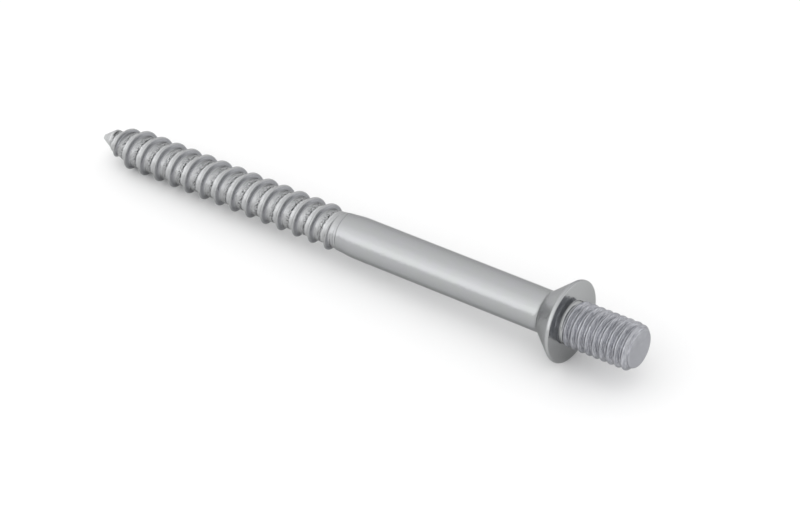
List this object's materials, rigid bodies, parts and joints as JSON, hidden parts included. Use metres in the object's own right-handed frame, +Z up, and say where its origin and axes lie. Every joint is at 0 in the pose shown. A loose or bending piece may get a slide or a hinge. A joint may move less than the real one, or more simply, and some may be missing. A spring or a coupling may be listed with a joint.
{
  "type": "hanger bolt",
  "caption": "Steel hanger bolt: pointed wood thread, plain shank, collar with a conical back and flat front, and a short M6 machine thread. Lies on its side.",
  "frame": {"origin": "on the bolt's axis at the collar's flat front face, where the machine thread begins", "axes": "+X towards the machine end, along the bolt as it lies; the bolt's own axis rises towards the machine end by the tilt it takes when it rests on the collar's rim and the thread's crests; +Z up"},
  "size_m": [0.082, 0.0104, 0.0104],
  "materials": {
    "zinc_plated_steel": "satin bright zinc plate"
  },
  "bodies": {
    "root": {"hanger_bolt": "zinc_plated_steel"}
  },
  "joints": []
}
